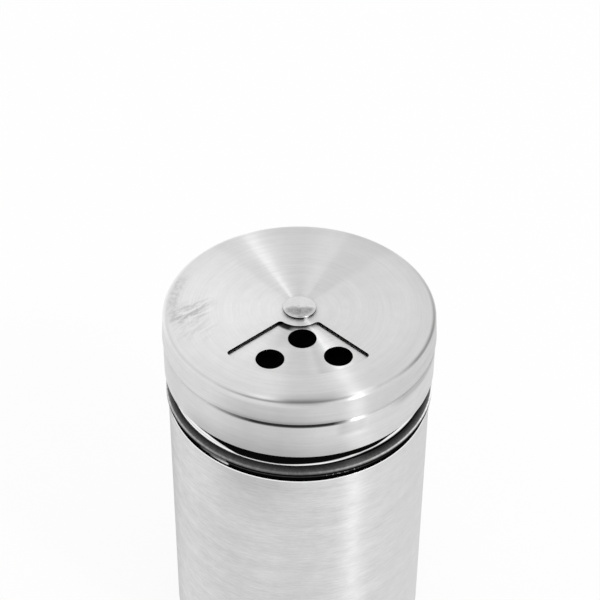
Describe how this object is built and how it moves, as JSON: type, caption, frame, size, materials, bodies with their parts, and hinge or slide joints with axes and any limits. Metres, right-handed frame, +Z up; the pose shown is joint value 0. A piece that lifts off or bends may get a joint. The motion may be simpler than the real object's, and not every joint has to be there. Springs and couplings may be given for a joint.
{
  "type": "spice shaker",
  "caption": "Round steel spice shaker: canister with a black collar, push-on lid with coarse, fine and pouring openings, and a turning dial with one window.",
  "frame": {"origin": "centre of the base, on the surface that the shaker stands on", "axes": "+Z up along the canister's axis; -Y is the front, where the coarse holes and the dial's window are"},
  "size_m": [0.0646, 0.0646, 0.1011],
  "materials": {
    "body_steel": "brushed around the body",
    "cap_steel": "brushed in circles, polished hem",
    "dial_steel": "brushed in circles round the rivet",
    "rivet_steel": "polished",
    "collar_plastic": "glossy black",
    "seal_rubber": "matt black",
    "washer_steel": "plain"
  },
  "bodies": {
    "canister": {"body_shell": "body_steel", "neck_collar": "collar_plastic", "neck_seal": "seal_rubber"},
    "lid": {"cap_shell": "cap_steel", "rivet": "rivet_steel", "friction_washer": "washer_steel", "backing_washer": "washer_steel"},
    "dial": {"dial_cover": "dial_steel"}
  },
  "joints": [
    {"name": "lid_lift", "type": "slide", "parent": "canister", "child": "lid", "axis": [0, 0, 1], "range_m": [0, 0.065]},
    {"name": "dial_turn", "type": "hinge", "parent": "lid", "child": "dial", "pos_m": [0, 0, 0.0995], "axis": [0, 0, 1], "continuous": true}
  ]
}
